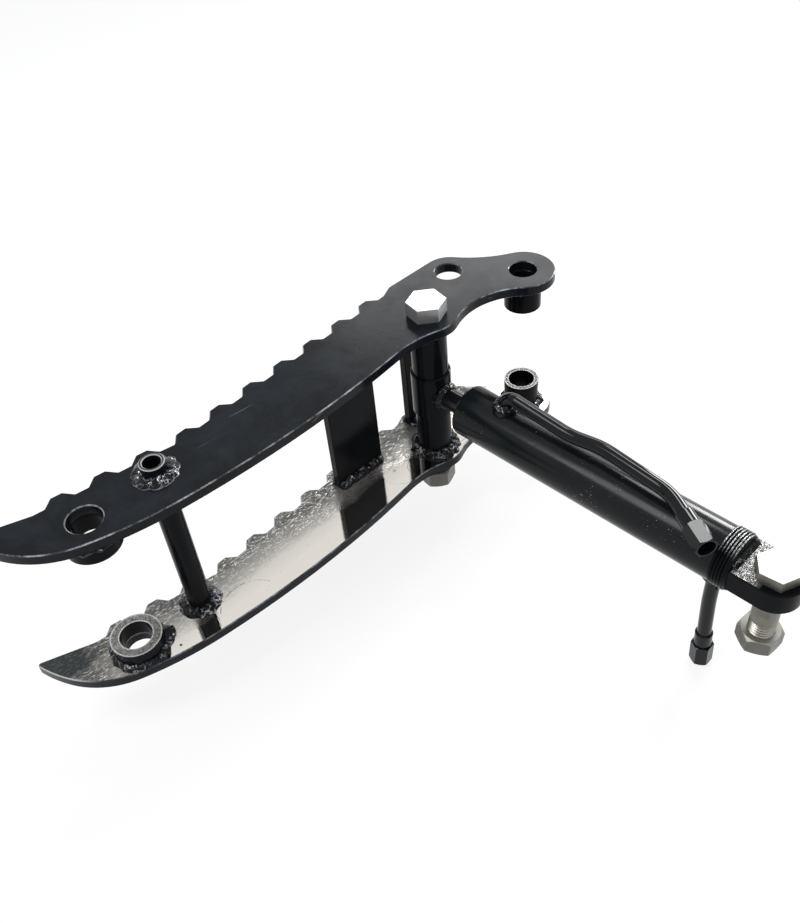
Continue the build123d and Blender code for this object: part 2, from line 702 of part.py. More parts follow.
ports = (
    ("rod_port", rod_port, 1, rod_route, rod_bends),
    ("base_port", base_port, -1, base_route, base_bends),
)
for name, distance, sign, route, bends in ports:
    with BuildPart() as port_boss:
        with BuildSketch(Plane(origin=in_cylinder(distance, 0, 0), x_dir=along, z_dir=up * sign)):
            Circle(port_boss_r)
            Circle(port_hole_r, mode=Mode.SUBTRACT)
        extrude(amount=boss_top)
        clear_r = (barrel_bore_r if name == "base_port" else barrel_r) + weld_gap
        add(turned([
            (distance - 2 * port_boss_r, 0), (distance - 2 * port_boss_r, clear_r),
            (distance + 2 * port_boss_r, clear_r), (distance + 2 * port_boss_r, 0),
        ]))
        revolve(axis=cylinder_axis, mode=Mode.SUBTRACT)
    pieces[name + "_boss"] = port_boss

    start = (route[1] - route[0]).normalized()
    with BuildPart() as pipe:
        with BuildLine():
            FilletPolyline(*route, radius=bends)
        with BuildSketch(Plane(origin=route[0], x_dir=along, z_dir=start)):
            Circle(pipe_r)
            Circle(pipe_r - pipe_wall, mode=Mode.SUBTRACT)
        sweep()
    pieces[name + "_pipe"] = pipe

    with BuildPart() as port_weld:
        corner = in_cylinder(distance, 0, sign * boss_top)
        add(bead_section(corner, along, up * sign, port_boss_bead, pipe_r + weld_gap))
        revolve(axis=Axis(corner, up))
    pieces[name + "_weld"] = port_weld

    frame = swivel_frame(route)
    spin = Axis(frame.origin, frame.x_dir)
    nut_start = collar_length + weld_gap
    with BuildPart() as nipple:
        add(turned([
            (0, pipe_r - pipe_wall), (0, collar_r - swivel_chamfer), (swivel_chamfer, collar_r),
            (collar_length - swivel_chamfer, collar_r),
            (collar_length, collar_r - swivel_chamfer), (collar_length, neck_r),
            (nut_start + swivel_back + running_gap, neck_r),
            (nut_start + swivel_back + running_gap, head_r),
            (nut_start + swivel_back + 0.4 * head_length, head_r),
            (nut_start + swivel_back + head_length, neck_r),
            (nut_start + swivel_back + head_length, nipple_bore_r),
            (collar_length, nipple_bore_r),
        ], frame))
        revolve(axis=spin)
    pieces[name + "_nipple"] = nipple

    with BuildPart() as swivel_nut:
        corner_r = swivel_flats / 2 / cos(radians(30))
        nut_frame = Plane(
            origin=frame.origin + frame.x_dir * nut_start, x_dir=frame.z_dir, z_dir=frame.x_dir
        )
        with BuildSketch(nut_frame):
            RegularPolygon(radius=corner_r, side_count=6)
        extrude(amount=swivel_length)
        nut_end = nut_start + swivel_length
        add(turned([
            (nut_start, 0), (nut_start, swivel_flats / 2), (nut_start + swivel_chamfer, corner_r),
            (nut_end - swivel_chamfer, corner_r), (nut_end, swivel_flats / 2), (nut_end, 0),
        ], frame))
        revolve(axis=spin, mode=Mode.INTERSECT)
        add(turned([
            (nut_start, 0), (nut_start, neck_r + running_gap),
            (nut_start + swivel_back, neck_r + running_gap),
            (nut_start + swivel_back, swivel_bore_r), (nut_end, swivel_bore_r), (nut_end, 0),
        ], frame))
        revolve(axis=spin, mode=Mode.SUBTRACT)
    pieces[name + "_nut"] = swivel_nut

os.makedirs("parts", exist_ok=True)
for name, piece in pieces.items():
    piece.part.label = name
    export_step(piece.part, f"parts/{name}.step")
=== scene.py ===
import json
import math
import bmesh
import bpy
from mathutils import Matrix, Vector, noise


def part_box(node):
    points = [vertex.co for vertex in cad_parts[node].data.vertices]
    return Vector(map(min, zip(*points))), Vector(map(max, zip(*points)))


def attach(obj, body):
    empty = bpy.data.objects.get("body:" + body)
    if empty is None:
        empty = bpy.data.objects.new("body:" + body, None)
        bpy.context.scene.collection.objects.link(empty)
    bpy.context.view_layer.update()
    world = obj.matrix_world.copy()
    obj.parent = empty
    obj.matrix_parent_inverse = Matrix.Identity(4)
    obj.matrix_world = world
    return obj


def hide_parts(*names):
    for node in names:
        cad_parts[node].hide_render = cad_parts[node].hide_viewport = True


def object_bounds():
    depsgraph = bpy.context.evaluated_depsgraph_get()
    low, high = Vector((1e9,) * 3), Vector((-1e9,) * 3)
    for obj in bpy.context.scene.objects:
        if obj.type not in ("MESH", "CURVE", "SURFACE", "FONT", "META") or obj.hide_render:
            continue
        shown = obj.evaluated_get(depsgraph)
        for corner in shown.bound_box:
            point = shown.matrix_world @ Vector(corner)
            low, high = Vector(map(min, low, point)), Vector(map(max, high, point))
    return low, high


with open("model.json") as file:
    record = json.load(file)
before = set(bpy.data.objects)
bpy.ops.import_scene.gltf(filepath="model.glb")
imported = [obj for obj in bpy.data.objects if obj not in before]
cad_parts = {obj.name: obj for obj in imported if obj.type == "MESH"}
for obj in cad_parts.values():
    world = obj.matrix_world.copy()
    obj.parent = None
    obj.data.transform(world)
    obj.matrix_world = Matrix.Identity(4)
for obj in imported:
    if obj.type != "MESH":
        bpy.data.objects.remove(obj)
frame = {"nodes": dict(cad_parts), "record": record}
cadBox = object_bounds()
nodes = frame["nodes"]
joints = {row["name"]: row for row in frame["record"]["behaviour"]["joints"]}
mounts = {row["name"]: row for row in frame["record"]["mounts"]}
up = Vector((0, 0, 1))
print("frame loaded,", len(nodes), "nodes")


# places and sizes come from the frame in metres, and lengths are rounded to a tenth of a millimetre
decimals = 4


def lowest(name):
    return round(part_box(name)[0].z, decimals)


def highest(name):
    return round(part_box(name)[1].z, decimals)


def radiusOf(name):
    low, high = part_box(name)
    return round((high.x - low.x) / 2, decimals)


def boreOf(name):
    return mounts[name]["dims"]["r_mm"] / 1000


def middleOf(name):
    low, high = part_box(name)
    return (low + high) / 2


thumb = {
    "innerLevel": lowest("side_plate_upper"),
    "outerLevel": highest("side_plate_upper"),
    "tube": Vector(mounts["cross_tube_bore"]["pos_m"]),
    "tubeRadius": radiusOf("cross_tube"),
    "pivot": Vector(mounts["rear_pivot_bore"]["pos_m"]),
    "bushRadius": radiusOf("rear_bush_lower"),
    "bushBore": boreOf("rear_pivot_bore"),
    "bushTop": highest("rear_bush_lower"),
    "tipRing": Vector(mounts["tip_ring_bore"]["pos_m"]),
    "tipRingRadius": radiusOf("tip_ring_lower"),
    "tipRingBore": boreOf("tip_ring_bore"),
    "tipRingTop": highest("tip_ring_lower"),
    "rodPin": Vector(joints["rod_eye_pivot"]["pos_m"]),
    "bossRadius": radiusOf("pivot_boss_lower"),
    "flatAngle": math.radians(5.85),
    "flatThickness": 0.008,
    "flatWidths": {"cross_plate": 0.057, "rear_cross_plate": 0.041},
}
along = Vector(joints["cylinder_stroke"]["axis"])
lugBolt = Vector(joints["lug_bolt_turn"]["pos_m"])
eyeCentre = Vector((thumb["rodPin"].x, thumb["rodPin"].y, lugBolt.z))
cylinder = {
    "gland": 0.0475,  # from the rod's pin to the mouth of the gland
    "lugSheenEnd": 0.354,  # and to where the painted sky reflection on the lug stops
    "pipeRadius": 0.0061,
}


def alongCylinder(name):
    # the point of the cylinder's axis that a node sits at
    distance = round((middleOf(name) - eyeCentre).dot(along), decimals)
    return eyeCentre + along * distance


# materials: each is a graph on Object coordinates
class Graph:
    def __init__(self, name):
        self.material = bpy.data.materials.new(name)
        self.material.use_nodes = True
        self.tree = self.material.node_tree
        self.tree.nodes.clear()
        self.shader = self.add("ShaderNodeBsdfPrincipled")
        self.output = self.add("ShaderNodeOutputMaterial")
        self.join(self.shader.outputs[0], self.output.inputs["Surface"])
        self.coord = self.add("ShaderNodeTexCoord")

    def add(self, kind, settings=None, **values):
        made = self.tree.nodes.new(kind)
        for key, value in (settings or {}).items():
            setattr(made, key, value)
        for key, value in values.items():
            made.inputs[key].default_value = value
        return made

    def join(self, source, target):
        self.tree.links.new(source, target)

    def fill(self, socket, value):
        # a number or a colour is set on the socket, anything else is joined to it
        if isinstance(value, (int, float)):
            socket.default_value = value
        elif isinstance(value, tuple):
            socket.default_value = (*value, 1)
        else:
            self.join(value, socket)

    def noise(self, scale, detail=3.0, roughness=0.5, stretch=(1, 1, 1), turn=0.0, distortion=0.0):
        place = self.add("ShaderNodeMapping")
        place.inputs["Scale"].default_value = stretch
        place.inputs["Rotation"].default_value = (0, 0, turn)
        self.join(self.coord.outputs["Object"], place.inputs["Vector"])
        made = self.add("ShaderNodeTexNoise", Scale=scale, Detail=detail, Roughness=roughness,
                        Distortion=distortion)
        self.join(place.outputs[0], made.inputs["Vector"])
        return made.outputs["Fac"]

    def ramp(self, source, low, high, start=0.0, end=1.0):
        made = self.add("ShaderNodeMapRange", {"clamp": True}, **{
            "From Min": low, "From Max": high, "To Min": start, "To Max": end})
        self.join(source, made.inputs["Value"])
        return made.outputs[0]

    def math(self, operation, first, second=0.5, third=0.0):
        made = self.add("ShaderNodeMath", {"operation": operation})
        for socket, value in zip(made.inputs, (first, second, third)):
            self.fill(socket, value)
        return made.outputs[0]

    def sumOf(self, first, share, second):
        return self.math("MULTIPLY_ADD", first, share, second)

    def product(self, *factors):
        result = factors[0]
        for factor in factors[1:]:
            result = self.math("MULTIPLY", result, factor)
        return result

    def most(self, *factors):
        result = factors[0]
        for factor in factors[1:]:
            result = self.math("MAXIMUM", result, factor)
        return result

    def rest(self, value):
        return self.math("SUBTRACT", 1.0, value)

    def near(self, source, middle, outer, inner):
        # 1 where a value is close to a middle, 0 further off: a thin line
        gap = self.math("ABSOLUTE", self.math("SUBTRACT", source, middle))
        return self.ramp(gap, outer, inner)

    def mixColour(self, factor, first, second):
        made = self.add("ShaderNodeMix", {"data_type": "RGBA"})
        for socket, value in zip((made.inputs[0], *made.inputs[6:8]), (factor, first, second)):
            self.fill(socket, value)
        return made.outputs[2]

    def mixValue(self, factor, first, second):
        made = self.add("ShaderNodeMix", {"data_type": "FLOAT"})
        for socket, value in zip((made.inputs[0], *made.inputs[2:4]), (factor, first, second)):
            self.fill(socket, value)
        return made.outputs[0]

    def bump(self, height, strength, distance):
        made = self.add("ShaderNodeBump", Strength=strength, Distance=distance)
        self.join(height, made.inputs["Height"])
        return made.outputs[0]

    def split(self, output):
        made = self.add("ShaderNodeSeparateXYZ")
        self.join(self.coord.outputs[output], made.inputs[0])
        return made.outputs

    def reach(self, direction, origin):
        # distance of a point from a place, along a direction
        offset = self.add("ShaderNodeVectorMath", {"operation": "SUBTRACT"})
        self.join(self.coord.outputs["Object"], offset.inputs[0])
        offset.inputs[1].default_value = origin
        dot = self.add("ShaderNodeVectorMath", {"operation": "DOT_PRODUCT"})
        self.join(offset.outputs[0], dot.inputs[0])
        dot.inputs[1].default_value = direction
        return dot.outputs["Value"]

    def reachFrom(self, origin):
        # plain distance of a point from a place
        gap = self.add("ShaderNodeVectorMath", {"operation": "DISTANCE"})
        self.join(self.coord.outputs["Object"], gap.inputs[0])
        gap.inputs[1].default_value = origin
        return gap.outputs["Value"]

    def set(self, **links):
        for key, source in links.items():
            self.fill(self.shader.inputs[key.replace("_", " ")], source)
        return self.material


black = {
    "frame": (0.004, 0.0045, 0.0055),
    "cylinder": (0.004, 0.0055, 0.0065),
    "fitting": (0.003, 0.004, 0.005),
    "plate": (0.0030, 0.0044, 0.0060),
    "weld": (0.0045, 0.0055, 0.0085),
    "rod": (0.008, 0.009, 0.011),
}

sprayed = {
    "cloudScale": 14,
    "cloudLift": 1.8,  # how much lighter the paint is where the cloud is thick
    "peelScale": 420,
    "peelDepth": 0.0003,
    "speckScale": 900,
    "speck": (0.55, 0.56, 0.56),
    # painted highlight: the pale grey that upward chamfers and flat tops are mixed toward
    "paintedHighlight": (0.40, 0.41, 0.42),
    "topShare": 0.12,  # how much of the painted highlight at the rims the flat tops get
}


def cloudyGloss(paint, roughness):
    # roughness that wanders a little over the surface, and the cloud that it follows
    cloud = paint.noise(sprayed["cloudScale"], 4, 0.6)
    return cloud, paint.ramp(cloud, 0.3, 0.7, roughness * 0.7, roughness * 1.4)


def glossBlack(name, colour, roughness, peel, specular=0.05, flecks=0.0, rim=0.0):
    # sprayed gloss paint: slight orange peel, cloudy gloss, a few pale specks, and a painted
    # highlight on upward chamfers and flat tops
    paint = Graph(name)
    nz = paint.split("Normal")[2]
    cloud, gloss = cloudyGloss(paint, roughness)
    lighter = tuple(part * sprayed["cloudLift"] for part in colour)
    shade = paint.mixColour(paint.ramp(cloud, 0.35, 0.75), colour, lighter)
    specks = paint.product(paint.ramp(paint.noise(sprayed["speckScale"], 2, 0.5), 0.70, 0.74),
                           paint.ramp(paint.noise(30, 3, 0.6), 0.50, 0.64))
    shade = paint.mixColour(paint.product(specks, flecks), shade, sprayed["speck"])
    # painted highlight on chamfers that face up, and more faintly on flat tops
    chamfer = paint.product(paint.ramp(nz, 0.45, 0.55), paint.ramp(nz, 0.97, 0.90), rim)
    skyLitTop = paint.product(paint.ramp(nz, 0.97, 0.99), rim * sprayed["topShare"])
    shade = paint.mixColour(paint.most(chamfer, skyLitTop), shade, sprayed["paintedHighlight"])
    fine = paint.noise(sprayed["peelScale"], 2, 0.5)
    return paint.set(Base_Color=shade, Roughness=gloss, Specular_IOR_Level=specular,
                     Normal=paint.bump(fine, peel, sprayed["peelDepth"]))


paintedSky = {
    # a painted reflection of the sky on faces that look up, with painted highlight lines at ring
    # rims
    "roughness": 0.17,
    "mirrorRoughness": 0.24,
    "metallic": 0.85,
    "fineScale": 2.3,  # fine wrinkles against coarse ones
    "reliefDepth": 0.0009,
    "sheenFade": 0.006,
    "rimLine": (0.40, 0.40, 0.39),
}


def rimLines(paint, centre, outer, inner):
    # painted highlight: a pale line round the outer edge and round the bore of a ring's upper face
    span = paint.reachFrom(centre)
    lines = paint.most(paint.ramp(span, outer - 0.0016, outer - 0.0008),
                       paint.ramp(span, inner + 0.0014, inner + 0.0007))
    return paint.product(lines, paint.ramp(span, outer + 0.002, outer + 0.001))


def skyPaint(name, colour, low, high, skyReflection, wrinkle, depth=0.75, rings=(), until=None):
    # gloss black whose upward faces carry a painted reflection of the sky: pale, metallic and
    # wrinkled
    paint = Graph(name)
    nz = paint.split("Normal")[2]
    sky = paint.ramp(nz, low, high)
    if until is not None:
        reach = paint.reach(along, eyeCentre)
        sky = paint.product(sky, paint.ramp(reach, until, until - paintedSky["sheenFade"]))
    wrinkles = paint.noise(wrinkle, 4, 0.6, stretch=(1.0, 1.3, 1), turn=0.6, distortion=1.2)
    fine = paint.noise(wrinkle * paintedSky["fineScale"], 3, 0.55)
    valleys = paint.ramp(paint.sumOf(fine, 0.45, wrinkles), 0.66, 0.80)
    shown = paint.product(sky, paint.rest(paint.product(valleys, depth)))
    # painted reflection: faces that look up are mixed toward the pale metallic colour
    shade = paint.mixColour(shown, colour, skyReflection)
    for ring in rings:
        shade = paint.mixColour(paint.product(sky, rimLines(paint, *ring)), shade, paintedSky["rimLine"])
    gloss = cloudyGloss(paint, paintedSky["roughness"])[1]
    relief = paint.math("ADD", wrinkles, paint.product(fine, 0.4))
    relief = paint.product(relief, paint.sumOf(sky, 0.95, 0.05))
    return paint.set(Base_Color=shade, Metallic=paint.product(shown, paintedSky["metallic"]),
                     Roughness=paint.mixValue(sky, gloss, paintedSky["mirrorRoughness"]),
                     Specular_IOR_Level=0.05, Normal=paint.bump(relief, 0.8, paintedSky["reliefDepth"]))


plate = {
    # the next three colours are a painted reflection of the sky on the inner face that looks up
    "skyReflection": (0.72, 0.69, 0.64),
    "fadedReflection": (0.16, 0.155, 0.145),
    "dullReflection": (0.040, 0.042, 0.041),
    "slate": (0.022, 0.027, 0.027),
    # the pale chamfer colour: partly bare edges where the paint has gone, partly a painted highlight
    "wearAndPaintedLight": (0.40, 0.41, 0.43),
    "stainLift": 2.6,
    "clawSlope": -0.10,  # the jaw side lies above a line that slopes like this
    "scratchCentre": (-0.3565, -0.0356, -0.075),
    "scratchRadius": 0.0299,
    "spot": (-0.4254, -0.0260, -0.075),
    "reliefDepth": 0.0010,
}


def paintedSkyMirror(paint, x, y, lift):
    # a painted reflection of the sky: smooth at the belly, dull and leathery at the jaw and the tip
    ripple = paint.noise(22, 4, 0.6)
    jawDull = paint.ramp(paint.sumOf(ripple, 0.034, lift), 0.042, 0.074)
    tipDull = paint.ramp(paint.sumOf(ripple, 0.06, x), -0.425, -0.470)
    dull = paint.most(jawDull, tipDull)
    wrinkles = paint.noise(430, 4, 0.6, stretch=(0.5, 1.7, 1), turn=0.7, distortion=0.5)
    fineWrinkles = paint.noise(900, 3, 0.5, stretch=(0.5, 1.8, 1), turn=0.5)
    grain = paint.sumOf(fineWrinkles, 0.5, wrinkles)
    flecks = paint.ramp(grain, 0.76, 0.91)
    slate = paint.product(paint.ramp(paint.sumOf(ripple, 0.02, x), -0.466, -0.486),
                          paint.ramp(lift, 0.052, 0.062))
    shownFlecks = paint.product(flecks, paint.rest(paint.product(slate, 0.90)))
    dulled = paint.product(dull, paint.rest(shownFlecks))
    # the sheen fades from the belly edge inward, and behind the cross plate
    fade = paint.most(paint.ramp(lift, 0.012, 0.045, 0.0, 0.36),
                      paint.product(dull, paint.ramp(x, -0.20, -0.16), 0.72))
    bright = paint.mixColour(fade, plate["skyReflection"], plate["fadedReflection"])
    low = paint.mixColour(slate, plate["dullReflection"], plate["slate"])
    shade = paint.mixColour(paint.sumOf(slate, 0.08, paint.product(dulled, 0.92)), bright, low)
    shade = paint.mixColour(silverMarks(paint, x, y), shade, plate["slate"])
    return shade, dull, dulled, grain


def silverMarks(paint, x, y):
    # creases near the rear end, a curved scratch and a dark spot near the tube, and specks
    crease = paint.product(paint.near(paint.noise(34, 1, 0.4, distortion=0.6), 0.5, 0.012, 0.004),
                           paint.ramp(x, -0.19, -0.15), 0.55)
    ring = paint.reachFrom(plate["scratchCentre"])
    scratch = paint.product(paint.near(ring, plate["scratchRadius"], 0.0005, 0.0002),
                            paint.ramp(y, -0.0225, -0.0205),
                            paint.ramp(paint.noise(260), 0.40, 0.50), 0.75)
    spot = paint.ramp(paint.reachFrom(plate["spot"]), 0.0014, 0.0009)
    specks = paint.product(paint.ramp(paint.noise(760, 2, 0.5), 0.70, 0.74), 0.6)
    return paint.most(crease, scratch, spot, specks)


def rubbedAndHighlitBlack(paint, nz, lower, lift):
    # black with broken bright chamfers here and there, partly bare edges and partly a painted
    # highlight, and fine scuffs on the faces
    steep = paint.math("ABSOLUTE", nz, 0)
    edge = paint.product(paint.ramp(steep, 0.94, 0.80), paint.ramp(steep, 0.3, 0.5))
    # bright chamfers: partly bare edges, partly a painted highlight
    rubAndHighlight = paint.product(edge, paint.ramp(paint.noise(38, 4, 0.7), 0.44, 0.66, 0.10, 1.0),
                        paint.ramp(paint.noise(300, 3, 0.6), 0.35, 0.55, 0.45, 1.0))
    pale = paint.product(edge, lower, paint.ramp(lift, 0.035, 0.055))
    scratch = paint.noise(90, 2, 0.5, stretch=(0.12, 2.4, 1), turn=0.9)
    scuffed = paint.product(paint.ramp(scratch, 0.70, 0.74),
                            paint.ramp(paint.noise(9), 0.5, 0.6), 0.16)
    stains = paint.ramp(paint.noise(26, 5, 0.7, distortion=0.5), 0.42, 0.66)
    lighter = tuple(part * plate["stainLift"] for part in black["plate"])
    shade = paint.mixColour(stains, black["plate"], lighter)
    return paint.mixColour(paint.most(rubAndHighlight, scuffed, pale), shade, plate["wearAndPaintedLight"])


def sidePlatePaint(name):
    # the plates are alike, but the inner face that looks up carries a painted reflection of the sky
    paint = Graph(name)
    x, y, z = paint.split("Object")
    nz = paint.split("Normal")[2]
    lower = paint.ramp(z, 0.0, -0.05)
    mirror = paint.product(paint.ramp(nz, 0.90, 0.97), lower)
    lift = paint.sumOf(x, plate["clawSlope"], y)
    skyReflection, dull, dulled, grain = paintedSkyMirror(paint, x, y, lift)
    shade = paint.mixColour(mirror, rubbedAndHighlitBlack(paint, nz, lower, lift), skyReflection)
    cloud = paint.noise(17, 5, 0.65)
    gloss = paint.mixValue(mirror, paint.ramp(cloud, 0.34, 0.66, 0.15, 0.32),
                           paint.ramp(dull, 0, 1, 0.035, 0.22))
    depth = paint.product(grain, mirror, paint.ramp(dull, 0, 1, 0.02, 0.6))
    peel = paint.product(paint.noise(180, 2, 0.5), paint.mixValue(mirror, 0.05, 0.008))
    metal = paint.product(mirror, paint.sumOf(dulled, -0.8, 1.0))
    relief = paint.bump(paint.math("ADD", depth, peel), 0.8, plate["reliefDepth"])
    return paint.set(Base_Color=shade, Metallic=metal, Roughness=gloss,
                     Specular_IOR_Level=0.12, Normal=relief)


weld = {
    "curlScale": 150,
    # painted glints: the pale metallic colour of the lines on the bead's upward faces and at its toe
    "paintedGlint": (0.34, 0.35, 0.36),
    "metallic": 0.6,
    "toeStart": (0.0845, 0.0848),  # a pale line where a bead meets the plate's outer face
    "toeEnd": (0.0861, 0.0855),
    "reliefDepth": 0.0016,
}


def weldPaint(name, reach=0.0, toe=0.0):
    # gloss black on a lumpy bead, with painted glints: pale metallic lines wind over its upward
    # faces
    paint = Graph(name)
    nz = paint.split("Normal")[2]
    z = paint.split("Object")[2]
    coarse = paint.noise(weld["curlScale"], 3, 0.55, distortion=0.5)
    # painted glints, only on faces that look up
    spark = paint.product(paint.near(coarse, 0.5, 0.028, 0.008),
                          paint.ramp(paint.noise(70, 3, 0.6), 0.46 - reach, 0.56 - reach),
                          paint.ramp(nz, -0.1, 0.35))
    rim = paint.product(paint.ramp(z, *weld["toeStart"]), paint.ramp(z, *weld["toeEnd"]), toe)
    spark = paint.most(spark, rim)
    return paint.set(Base_Color=paint.mixColour(spark, black["weld"], weld["paintedGlint"]),
                     Metallic=paint.product(spark, weld["metallic"]),
                     Roughness=paint.ramp(coarse, 0.3, 0.7, 0.08, 0.22),
                     Specular_IOR_Level=0.15, Normal=paint.bump(coarse, 0.9, weld["reliefDepth"]))


plated = {
    "cloudScale": 70,
    "streakScale": 240,
    "openSide": (0.77, -0.64),  # sides that face this way see the open sky and are lighter
    "sideMetallic": 0.55,
    "reliefDepth": 0.0003,
}


def zinc(name, skyLitTop, side, dirt, roughness, pale=0.85, lift=1.3):
    # zinc plate, with painted light: bright on its upward faces, dull grey on its sides, lighter on
    # sides that face the open sky
    plating = Graph(name)
    nx, ny, nz = plating.split("Normal")
    sky = plating.ramp(nz, 0.45, 0.95)
    cloud = plating.noise(plated["cloudScale"], 5, 0.65)
    streak = plating.noise(plated["streakScale"], 3, 0.5)
    wearAndPaintedLight = plating.mixColour(plating.ramp(cloud, 0.46, 0.72), side, dirt)
    acrossX, acrossY = plated["openSide"]
    facing = plating.sumOf(nx, acrossX, plating.math("MULTIPLY", ny, acrossY))
    lighter = tuple(part * lift for part in side)
    wearAndPaintedLight = plating.mixColour(plating.ramp(facing, 0.1, 0.95), wearAndPaintedLight, lighter)
    marks = plating.product(plating.ramp(plating.noise(150, 3, 0.6), 0.62, 0.68), 0.35)
    # painted light: faces that look up take the bright colour, the others the side colour
    shade = plating.mixColour(sky, wearAndPaintedLight, plating.mixColour(marks, skyLitTop, side))
    return plating.set(Base_Color=shade,
                       Metallic=plating.ramp(sky, 0, 1, plated["sideMetallic"], pale),
                       Roughness=plating.ramp(streak, 0.3, 0.7, roughness * 0.8, roughness * 1.3),
                       Normal=plating.bump(streak, 0.25, plated["reliefDepth"]))


chrome = {"colour": (0.78, 0.78, 0.80), "oversprayStart": 0.0005, "oversprayEnd": 0.0015}


def rodFinish(name):
    # hard chrome, oversprayed with black paint where it sticks out of the gland
    plating = Graph(name)
    lines = plating.noise(500, 2, 0.5)
    mist = plating.noise(240, 3, 0.6)
    edge = plating.sumOf(mist, 0.003, plating.reach(along, eyeCentre))
    painted = plating.ramp(edge, cylinder["gland"] + chrome["oversprayEnd"],
                           cylinder["gland"] + chrome["oversprayStart"])
    gloss = plating.mixValue(painted, plating.ramp(lines, 0.3, 0.7, 0.05, 0.12), 0.2)
    return plating.set(Base_Color=plating.mixColour(painted, chrome["colour"], black["rod"]),
                       Metallic=plating.rest(painted), Specular_IOR_Level=0.3, Roughness=gloss)


moulded = {"grainScale": 700, "roughness": 0.55, "reliefDepth": 0.0002}


def rubber(name, colour):
    skin = Graph(name)
    grain = skin.noise(moulded["grainScale"], 2, 0.5)
    return skin.set(Base_Color=colour, Roughness=moulded["roughness"],
                    Normal=skin.bump(grain, 0.3, moulded["reliefDepth"]))


ringTops = [
    (thumb["tipRing"] + up * thumb["tipRingTop"], thumb["tipRingRadius"], thumb["tipRingBore"]),
    (thumb["pivot"] + up * thumb["bushTop"], thumb["bushRadius"], thumb["bushBore"]),
]
finishes = {
    "sidePlate": sidePlatePaint("side_plate_paint"),
    "frame": glossBlack("frame_paint", black["frame"], roughness=0.12, peel=0.25),
    "tube": glossBlack("tube_paint", black["frame"], roughness=0.12, peel=0.25, rim=0.9),
    "cylinder": glossBlack("cylinder_paint", black["cylinder"], roughness=0.20, peel=0.03,
                           specular=0.16, flecks=1.0),
    "fitting": glossBlack("fitting_paint", black["fitting"], roughness=0.05, peel=0.05,
                          specular=0.18),
    "ring": skyPaint("ring_paint", black["frame"], low=0.90, high=0.97, skyReflection=(0.24, 0.235, 0.22),
                     wrinkle=620, rings=ringTops),
    "lug": skyPaint("lug_paint", black["frame"], low=0.88, high=0.96, skyReflection=(0.40, 0.395, 0.38),
                    wrinkle=460, depth=0.85, until=cylinder["lugSheenEnd"]),
    "cap": skyPaint("cap_paint", black["cylinder"], low=0.76, high=0.95, skyReflection=(0.40, 0.40, 0.40),
                    wrinkle=420),
    "weld": weldPaint("weld_paint"),
    "tubeWeld": weldPaint("tube_weld_paint", reach=0.07, toe=0.7),
    "brightZinc": zinc("bright_zinc", skyLitTop=(0.93, 0.93, 0.94), side=(0.26, 0.265, 0.27),
                       dirt=(0.18, 0.185, 0.19), roughness=0.34, lift=2.2),
    "warmZinc": zinc("warm_zinc", skyLitTop=(0.90, 0.89, 0.86), side=(0.16, 0.152, 0.125),
                     dirt=(0.07, 0.067, 0.055), roughness=0.36),
    "threadZinc": zinc("thread_zinc", skyLitTop=(0.40, 0.385, 0.34), side=(0.07, 0.067, 0.057),
                       dirt=(0.05, 0.047, 0.04), roughness=0.30),
    # painted shade: a darker copy of the zinc for the nuts, which sit in shade under the lug and the
    # plate
    "shadedNutZinc": zinc("shaded_nut_zinc", skyLitTop=(0.28, 0.27, 0.24), side=(0.12, 0.116, 0.10),
                    dirt=(0.07, 0.066, 0.055), roughness=0.36, pale=0.6),
    "chrome": rodFinish("rod_chrome"),
    "turned": zinc("turned_steel", skyLitTop=(0.60, 0.60, 0.61), side=(0.60, 0.60, 0.61),
                   dirt=(0.50, 0.50, 0.50), roughness=0.25),
    "rubber": rubber("seal_rubber", (0.015, 0.015, 0.015)),
    "wear": rubber("wear_plastic", (0.28, 0.16, 0.08)),
}
dressed = {
    "sidePlate": ["side_plate_upper", "side_plate_lower"],
    "frame": ["cross_plate", "rear_cross_plate", "pivot_boss_upper", "pivot_boss_lower", "rod_eye"],
    "tube": ["cross_tube"],
    "ring": ["rear_bush_upper", "rear_bush_lower", "tip_ring_upper", "tip_ring_lower"],
    "cylinder": ["barrel", "gland", "rod_port_boss", "base_port_boss"],
    "fitting": ["rod_port_pipe", "base_port_pipe", "rod_port_nipple", "base_port_nipple",
                "rod_port_nut", "base_port_nut"],
    "lug": ["base_lug"],
    "cap": ["end_cap", "cap_weld"],
    "weld": ["cross_tube_welds", "cross_plate_welds", "round_welds", "rod_eye_weld", "lug_welds",
             "rod_port_weld", "base_port_weld"],
    "brightZinc": ["rod_bolt"],
    "warmZinc": ["base_bolt"],
    "shadedNutZinc": ["rod_bolt_nut", "base_bolt_nut"],
    "chrome": ["piston_rod"],
    "turned": ["piston", "piston_nut"],
    "rubber": ["piston_seal", "rod_seal", "rod_wiper", "gland_ring"],
    "wear": ["piston_wear_ring"],
}
for finish, names in dressed.items():
    for name in names:
        nodes[name].data.materials.clear()
        nodes[name].data.materials.append(finishes[finish])
print("materials done")


def finishPiece(shape, name, finish, body, slot, replaced):
    # turn a bmesh into an object that rides a body and stands for its node
    bmesh.ops.recalc_face_normals(shape, faces=shape.faces)
    for face in shape.faces:
        face.smooth = True
    mesh = bpy.data.meshes.new(name)
    shape.to_mesh(mesh)
    shape.free()
    piece = bpy.data.objects.new(name, mesh)
    bpy.context.collection.objects.link(piece)
    mesh.materials.append(finishes[finish])
    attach(piece, body)
    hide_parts(replaced)
    return piece


def flatten(piece):
    for polygon in piece.data.polygons:
        polygon.use_smooth = False


def closeHoles(shape):
    bmesh.ops.holes_fill(shape, edges=[edge for edge in shape.edges if edge.is_boundary], sides=0)


